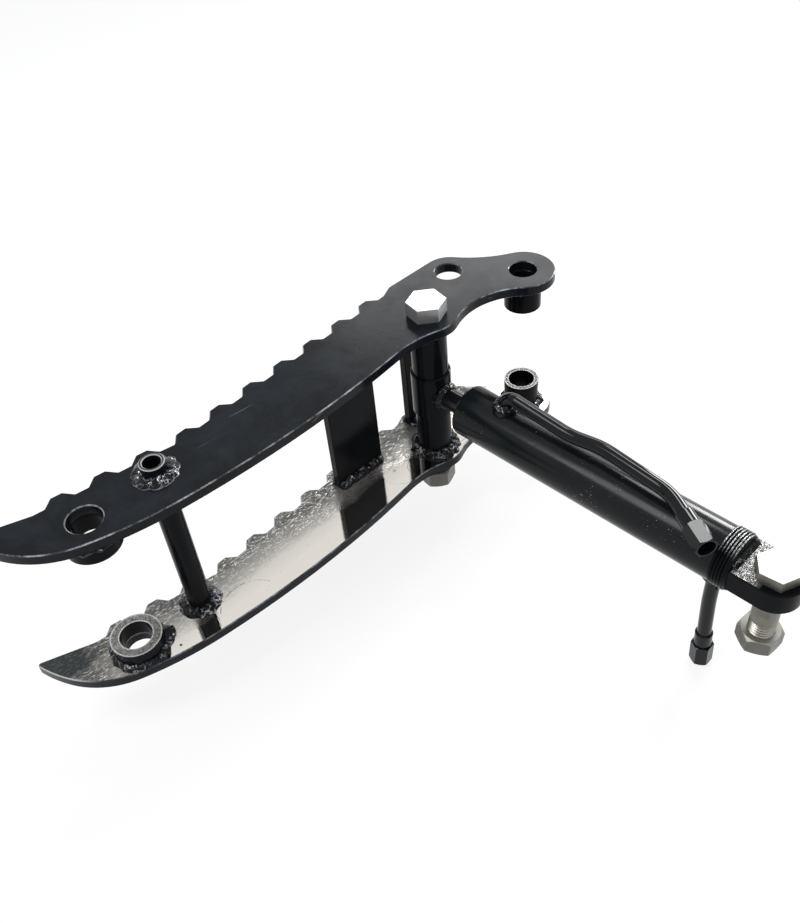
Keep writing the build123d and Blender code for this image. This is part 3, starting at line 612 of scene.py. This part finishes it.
# weld beads: a rounded corner swept round or along, then lumps and scallops
pool = {
    "corner": 1.25,  # above 1 the bead's face is flatter than a round one
    "scallop": 0.13,  # heights as shares of the leg
    "settle": 0.08,
    "grain": 0.05,
    "grainScale": 2.9,  # fine lumps against coarse ones
    "slant": 1.1,  # how far a scallop leans from foot to top
    "buried": 0.2,  # deeper than this share of the sink a bead stays smooth
    "taper": 0.8,  # length of a tapered end, as a share of the leg
    "endHeight": 0.4,
    "leastLean": 0.0001,  # keeps a direction where a point lies right in the corner
}


def beadSection(bead, points=8):
    # closed outline of a bead in its corner, as (outward, upward) pairs
    sink = bead["sink"]
    outline = [(-sink, -sink)]
    for index in range(points + 1):
        turn = index / points * math.pi / 2
        outline.append((bead["leg"] * math.cos(turn) ** pool["corner"],
                        bead["height"] * math.sin(turn) ** pool["corner"]))
    outline.append((-sink, bead["height"]))
    return outline


def beadLoop(shape, corner, outward, rise, bead):
    # the outline as a closed loop of a bmesh, ready to spin
    loop = [shape.verts.new(corner + outward * out + rise * high) for out, high in beadSection(bead)]
    edges = [shape.edges.new(pair) for pair in zip(loop, loop[1:] + loop[:1])]
    return loop, edges


def roughen(verts, bead, frameOf):
    # scallops left by the weld pool, and lumps, largest in the middle of the bead's face
    for vert in verts:
        distance, outward, height, lean = frameOf(vert.co)
        if outward < -pool["buried"] * bead["sink"] and height < bead["height"]:
            continue
        slant = pool["slant"] * height / bead["height"]
        scallop = abs(math.sin(math.pi * distance / bead["pitch"] + slant))
        lumps = noise.noise(vert.co * bead["lumpScale"] + bead["seed"])
        grain = noise.noise(vert.co * bead["lumpScale"] * pool["grainScale"] + bead["seed"])
        amount = bead["leg"] * (pool["scallop"] * scallop - pool["settle"]
                                + bead["lump"] * lumps + pool["grain"] * grain)
        for place, size, reach in bead.get("extra", ()):
            amount += size * math.exp(-((vert.co - place).length / reach) ** 2) * (1 + 0.5 * grain)
        vert.co += lean * amount


def ringBead(shape, centre, level, rise, radius, bead, steps=132):
    # a bead all the way round an upright
    base = Vector((centre.x, centre.y, level))
    start = len(shape.verts)
    outward = Vector((1, 0, 0))
    loop, edges = beadLoop(shape, base + outward * radius, outward, up * rise, bead)
    bmesh.ops.spin(shape, geom=loop + edges, cent=base, axis=up, angle=2 * math.pi,
                   steps=steps, use_merge=True)
    shape.verts.ensure_lookup_table()
    girth = 2 * math.pi * radius
    ring = dict(bead, pitch=girth / round(girth / bead["pitch"]))  # whole scallops all the way round

    def frameOf(point):
        offset = point - base
        radial = Vector((offset.x, offset.y, 0))
        out = radial.length - radius
        high = offset.z * rise
        lean = radial.normalized() * max(out, pool["leastLean"]) + up * rise * max(high, 0)
        return math.atan2(offset.y, offset.x) * radius, out, high, lean.normalized()

    roughen(shape.verts[start:], ring, frameOf)


def lineBead(shape, start, heading, length, outward, rise, bead):
    # a bead along a straight corner, tapered at both ends
    steps = round(length / bead["step"])
    first = len(shape.verts)
    loop, edges = beadLoop(shape, start, outward, rise, bead)
    shape.faces.new(loop)
    bmesh.ops.spin(shape, geom=loop + edges, cent=start, axis=up, dvec=heading * length / steps,
                   angle=0, steps=steps, use_duplicate=False)
    shape.verts.ensure_lookup_table()
    closeHoles(shape)  # the far end

    def frameOf(point):
        offset = point - start
        out = offset.dot(outward)
        high = offset.dot(rise)
        lean = outward * max(out, pool["leastLean"]) + rise * max(high, 0)
        return offset.dot(heading), out, high, lean.normalized()

    roughen(shape.verts[first:], bead, frameOf)
    for vert in shape.verts[first:]:
        distance, out, high, lean = frameOf(vert.co)
        taper = min(distance, length - distance) / (pool["taper"] * bead["leg"])
        if taper < 1:
            share = math.sqrt(max(taper, 0)) * (1 - pool["endHeight"]) + pool["endHeight"]
            vert.co -= outward * max(out, 0) * (1 - share) + rise * max(high, 0) * (1 - share)


# beads round the cross tube, on both faces of both plates
tubeBead = {"leg": 0.0088, "height": 0.0045, "sink": 0.0003, "pitch": 0.0058,
            "lump": 0.14, "lumpScale": 150, "seed": Vector((3, 1, 4))}
shape = bmesh.new()
for side in (1, -1):
    for level, rise in ((thumb["outerLevel"], side), (thumb["innerLevel"], -side)):
        ringBead(shape, thumb["tube"], side * level, rise, thumb["tubeRadius"], tubeBead)
finishPiece(shape, "tube_beads", "tubeWeld", "thumb_frame", "weld_paint", "cross_tube_welds")

# beads round the feet of the bushes, the tip rings and the bosses
roundBead = {"sink": 0.0003, "pitch": 0.0055, "lumpScale": 160}
bushBead = {"leg": 0.0052, "height": 0.0050, "lump": 0.34, "seed": Vector((2, 7, 1))}
tipRingBead = {
    "leg": 0.0044,
    "height": 0.0046,
    "lump": 0.40,
    "seed": Vector((8, 2, 8)),
    # the welder ended in a tall lump and a smear beside the lower ring: place, size, reach
    "extra": [(Vector((-0.4300, -0.0115, -0.0715)), 0.0045, 0.0060),
              (Vector((-0.4265, -0.0070, -0.0740)), 0.0040, 0.0040)],
}
bossBead = {"leg": 0.0078, "height": 0.0062, "lump": 0.30, "seed": Vector((5, 9, 2))}
shape = bmesh.new()
for centre, radius, bead in ((thumb["pivot"], thumb["bushRadius"], bushBead),
                             (thumb["tipRing"], thumb["tipRingRadius"], tipRingBead),
                             (thumb["rodPin"], thumb["bossRadius"], bossBead)):
    for side in (1, -1):
        ringBead(shape, centre, side * thumb["innerLevel"], -side, radius, {**roundBead, **bead})
finishPiece(shape, "round_beads", "weld", "thumb_frame", "weld_paint", "round_welds")

# beads along the feet of the flat bars
flatBead = {"leg": 0.0066, "height": 0.0062, "sink": 0.0003, "pitch": 0.0062, "step": 0.0009,
            "lump": 0.28, "lumpScale": 190, "seed": Vector((1, 6, 1))}
shape = bmesh.new()
heading = Vector((math.cos(thumb["flatAngle"]), math.sin(thumb["flatAngle"]), 0))
across = up.cross(heading)
for name, width in thumb["flatWidths"].items():
    start = middleOf(name) - heading * width / 2
    for side in (1, -1):
        for outward in (-across, across):
            corner = start + outward * thumb["flatThickness"] / 2 + up * side * thumb["innerLevel"]
            lineBead(shape, corner, heading, width, outward, -up * side, flatBead)
finishPiece(shape, "flat_beads", "weld", "thumb_frame", "weld_paint", "cross_plate_welds")

# beads round the two pipes, on their port bosses
portBead = {"leg": 0.0046, "height": 0.0040, "sink": 0.0002, "pitch": 0.0045,
            "lump": 0.34, "lumpScale": 260, "seed": Vector((4, 4, 7))}
ports = {"rod_port": (highest("rod_port_boss"), 1), "base_port": (lowest("base_port_boss"), -1)}
for name, (level, rise) in ports.items():
    shape = bmesh.new()
    ringBead(shape, alongCylinder(name + "_boss"), level, rise, cylinder["pipeRadius"], portBead,
             steps=72)
    finishPiece(shape, name + "_bead", "weld", "cylinder", "weld_paint", name + "_weld")
print("weld beads done")

# bolts: a crisp head, a plain shank and a thread, all in place of the plain solid
mergeGap = 0.000002
thread = {
    "radius": 0.0110,
    "pitch": 0.0030,
    "depth": 0.61,  # this and the next three are shares of the pitch
    "crest": (0.44, 0.56),
    "root": 0.06,
    "runIn": 0.6,
    "steps": 40,
    "tipChamfer": 0.0016,
}
headEdge = {"offset": 0.0008, "segments": 2}
bolts = {
    "base_bolt_threaded": {
        "node": "base_bolt",
        "centre": lugBolt,
        "headBase": highest("base_lug"),
        "threadLength": 0.0289,
        "looks": ("warmZinc", "lug_bolt", "warm_zinc"),  # finish, body and slot
    },
    "rod_bolt_threaded": {
        "node": "rod_bolt",
        "centre": thumb["rodPin"],
        "headBase": thumb["outerLevel"],
        "threadLength": 0.0320,
        "looks": ("brightZinc", "eye_bolt", "bright_zinc"),
    },
}


def mergedCopy(name):
    shape = bmesh.new()
    shape.from_mesh(nodes[name].data)
    bmesh.ops.remove_doubles(shape, verts=shape.verts, dist=mergeGap)
    return shape


def cutOff(shape, level, way):
    # clear what lies past a level
    bmesh.ops.bisect_plane(shape, geom=shape.verts[:] + shape.edges[:] + shape.faces[:],
                           plane_co=(0, 0, level), plane_no=(0, 0, way), clear_outer=True)


def headAndShank(bolt):
    # the shank is cut from a copy of the bolt, and the head is a new hexagon turned like the old
    centre = bolt["centre"]
    shape = mergedCopy(bolt["node"])
    offsets = [Vector((vert.co.x - centre.x, vert.co.y - centre.y)) for vert in shape.verts]
    corner = max(offsets, key=lambda offset: offset.length)
    headTop = max(vert.co.z for vert in shape.verts)
    threadTop = lowest(bolt["node"]) + bolt["threadLength"]
    for level, way in ((threadTop, -1), (bolt["headBase"], 1)):
        cutOff(shape, level, way)
        closeHoles(shape)
    turn = Matrix.Rotation(math.atan2(corner.y, corner.x) - math.pi / 2, 4, "Z")
    middle = Vector((centre.x, centre.y, (bolt["headBase"] + headTop) / 2))
    head = bmesh.ops.create_cone(shape, cap_ends=True, segments=6, radius1=corner.length,
                                 radius2=corner.length, depth=headTop - bolt["headBase"],
                                 matrix=Matrix.Translation(middle) @ turn)
    crown = [edge for edge in shape.edges
             if all(vert in head["verts"] and vert.co.z > middle.z for vert in edge.verts)]
    bmesh.ops.bevel(shape, geom=crown, profile=0.5, affect="EDGES", material=-1, **headEdge)
    return shape


def threadBelow(bolt):
    # a profile spun down a helix, cut level at both ends and chamfered at the tip
    centre = bolt["centre"]
    pitch = thread["pitch"]
    crest = thread["radius"]
    root = crest - thread["depth"] * pitch
    end = lowest(bolt["node"])
    start = end + bolt["threadLength"] + thread["runIn"] * pitch
    turns = math.ceil((start - end) / pitch) + 2
    shape = bmesh.new()
    outline = [(root, 0), (root, -thread["root"] * pitch), (crest, -thread["crest"][0] * pitch),
               (crest, -thread["crest"][1] * pitch), (root, -(1 - thread["root"]) * pitch),
               (root, -pitch)]
    points = [shape.verts.new((centre.x + out, centre.y, start + pitch + drop))
              for out, drop in outline]
    edges = [shape.edges.new(pair) for pair in zip(points, points[1:])]
    bmesh.ops.spin(shape, geom=points + edges, cent=(centre.x, centre.y, 0), axis=up,
                   angle=2 * math.pi * turns, dvec=(0, 0, -pitch / thread["steps"]),
                   steps=thread["steps"] * turns)
    bmesh.ops.remove_doubles(shape, verts=shape.verts, dist=10 * mergeGap)
    cutOff(shape, start, 1)
    cutOff(shape, end, -1)
    for vert in shape.verts:
        offset = Vector((vert.co.x - centre.x, vert.co.y - centre.y, 0))
        limit = crest - thread["tipChamfer"] + (vert.co.z - end)
        if offset.length > limit:
            offset = offset.normalized() * limit
            vert.co.x = centre.x + offset.x
            vert.co.y = centre.y + offset.y
    closeHoles(shape)
    for face in shape.faces:
        face.material_index = 1
    return shape


for name, bolt in bolts.items():
    upper = headAndShank(bolt)
    plain = bpy.data.meshes.new(name + "_plain")
    upper.to_mesh(plain)
    upper.free()
    shape = threadBelow(bolt)
    shape.from_mesh(plain)
    bpy.data.meshes.remove(plain)
    piece = finishPiece(shape, name, *bolt["looks"], bolt["node"])
    piece.data.materials.append(finishes["threadZinc"])
    flatten(piece)
print("threads done")

# the rod port's swivel nut stands a part turn round, so that one flat catches the sky
swivel = {"joint": "rod_port_swivel_turn", "turn": math.radians(8)}
joint = joints[swivel["joint"]]
shape = mergedCopy("rod_port_nut")
turn = Matrix.Rotation(swivel["turn"], 3, Vector(joint["axis"]))
bmesh.ops.rotate(shape, cent=joint["pos_m"], matrix=turn, verts=shape.verts)
flatten(finishPiece(shape, "rod_port_nut_turned", "fitting", "rod_port_swivel", "cylinder_paint",
                    "rod_port_nut"))
print("swivel nut done")

# studio: a white floor that keeps a faint shadow, a pale sky and soft lamps
studio = {
    "floorLevel": cadBox[0][2] - 0.0005,
    "floorSize": 60.0,
    "floorColour": (0.90, 0.90, 0.90),
    "whiteShare": 0.82,
    "skyLight": (0.93, 0.95, 1.0, 1),
    "skyStrength": 0.75,
    "white": (1, 1, 1, 1),
}


def seenDirectly(tree):
    # 1 for camera, glossy and transmission rays
    path = tree.nodes.new("ShaderNodeLightPath")
    total = path.outputs["Is Camera Ray"]
    for ray in ("Is Glossy Ray", "Is Transmission Ray"):
        either = tree.nodes.new("ShaderNodeMath")
        either.operation = "MAXIMUM"
        tree.links.new(total, either.inputs[0])
        tree.links.new(path.outputs[ray], either.inputs[1])
        total = either.outputs[0]
    return total


def makeFloor():
    mesh = bpy.data.meshes.new("studio_floor")
    shape = bmesh.new()
    bmesh.ops.create_grid(shape, x_segments=1, y_segments=1, size=studio["floorSize"] / 2)
    bmesh.ops.translate(shape, vec=(0, 0, studio["floorLevel"]), verts=shape.verts)
    shape.to_mesh(mesh)
    shape.free()
    floor = bpy.data.objects.new("studio_floor", mesh)
    bpy.context.collection.objects.link(floor)
    paper = Graph("studio_paper")
    paper.set(Base_Color=studio["floorColour"], Roughness=1.0, Specular_IOR_Level=0.0)
    white = paper.add("ShaderNodeEmission", Strength=1.0)
    blend = paper.add("ShaderNodeMixShader")
    share = paper.math("MULTIPLY", seenDirectly(paper.tree), studio["whiteShare"])
    for source, socket in zip((share, paper.shader.outputs[0], white.outputs[0]), blend.inputs):
        paper.join(source, socket)
    paper.join(blend.outputs[0], paper.output.inputs["Surface"])
    mesh.materials.append(paper.material)


def makeWorld():
    world = bpy.data.worlds.new("studio_world")
    bpy.context.scene.world = world
    world.use_nodes = True
    tree = world.node_tree
    tree.nodes.clear()
    light = tree.nodes.new("ShaderNodeBackground")
    light.inputs["Color"].default_value = studio["skyLight"]
    light.inputs["Strength"].default_value = studio["skyStrength"]
    white = tree.nodes.new("ShaderNodeBackground")
    white.inputs["Color"].default_value = studio["white"]
    white.inputs["Strength"].default_value = 1.0
    mix = tree.nodes.new("ShaderNodeMixShader")
    out = tree.nodes.new("ShaderNodeOutputWorld")
    for source, socket in zip((seenDirectly(tree), light.outputs[0], white.outputs[0]), mix.inputs):
        tree.links.new(source, socket)
    tree.links.new(mix.outputs[0], out.inputs[0])


lamps = {
    "key_lamp": {"place": (-1.1, 0.2, 1.5), "aim": (-0.25, -0.1, 0.0),
                 "size": (0.7, 0.7), "watts": 13.0},
    "back_lamp": {"place": (0.9, 0.9, 0.85), "aim": (-0.10, -0.1, 0.0),
                  "size": (1.0, 0.4), "watts": 6.5},
    "streak_lamp": {"place": (1.266, 0.096, 0.405), "aim": (-0.07, -0.28, 0.0),
                    "size": (0.5, 0.45), "watts": 16.0},
    "sheen_lamp": {"place": (0.59, 0.37, 1.23), "aim": (-0.09, -0.20, 0.0),
                   "size": (0.35, 0.22), "watts": 5.0},
}


def makeLamp(name, lamp):
    data = bpy.data.lights.new(name, "AREA")
    data.shape = "RECTANGLE"
    data.size, data.size_y = lamp["size"]
    data.energy = lamp["watts"]
    made = bpy.data.objects.new(name, data)
    made.location = lamp["place"]
    heading = Vector(lamp["aim"]) - Vector(lamp["place"])
    made.rotation_euler = heading.to_track_quat("-Z", "Y").to_euler()
    bpy.context.collection.objects.link(made)


# camera solved from the photograph
view = {
    "place": Vector((-0.5486, -0.5473, 0.5965)),
    "right": Vector((0.7672, -0.6376, -0.0703)),
    "forward": Vector((0.4192, 0.5813, -0.6974)),
    "lens": 38.005,
    "sensor": 36,
    "shift": (-0.0073, -0.0008),
    "nearest": 0.01,
}


def makeCamera():
    data = bpy.data.cameras.new("photo_camera")
    data.sensor_width = view["sensor"]
    data.sensor_fit = "AUTO"
    data.lens = view["lens"]
    data.shift_x, data.shift_y = view["shift"]
    data.clip_start = view["nearest"]
    forward = view["forward"].normalized()
    right = (view["right"] - forward * view["right"].dot(forward)).normalized()
    rise = right.cross(forward)
    turn = Matrix((right, rise, -forward)).transposed().to_4x4()
    camera = bpy.data.objects.new("photo_camera", data)
    camera.matrix_world = Matrix.Translation(view["place"]) @ turn
    bpy.context.collection.objects.link(camera)
    bpy.context.scene.camera = camera


makeFloor()
makeWorld()
for name, lamp in lamps.items():
    makeLamp(name, lamp)
makeCamera()
bpy.context.scene.view_settings.view_transform = "Standard"
print("camera, lamps and floor done")
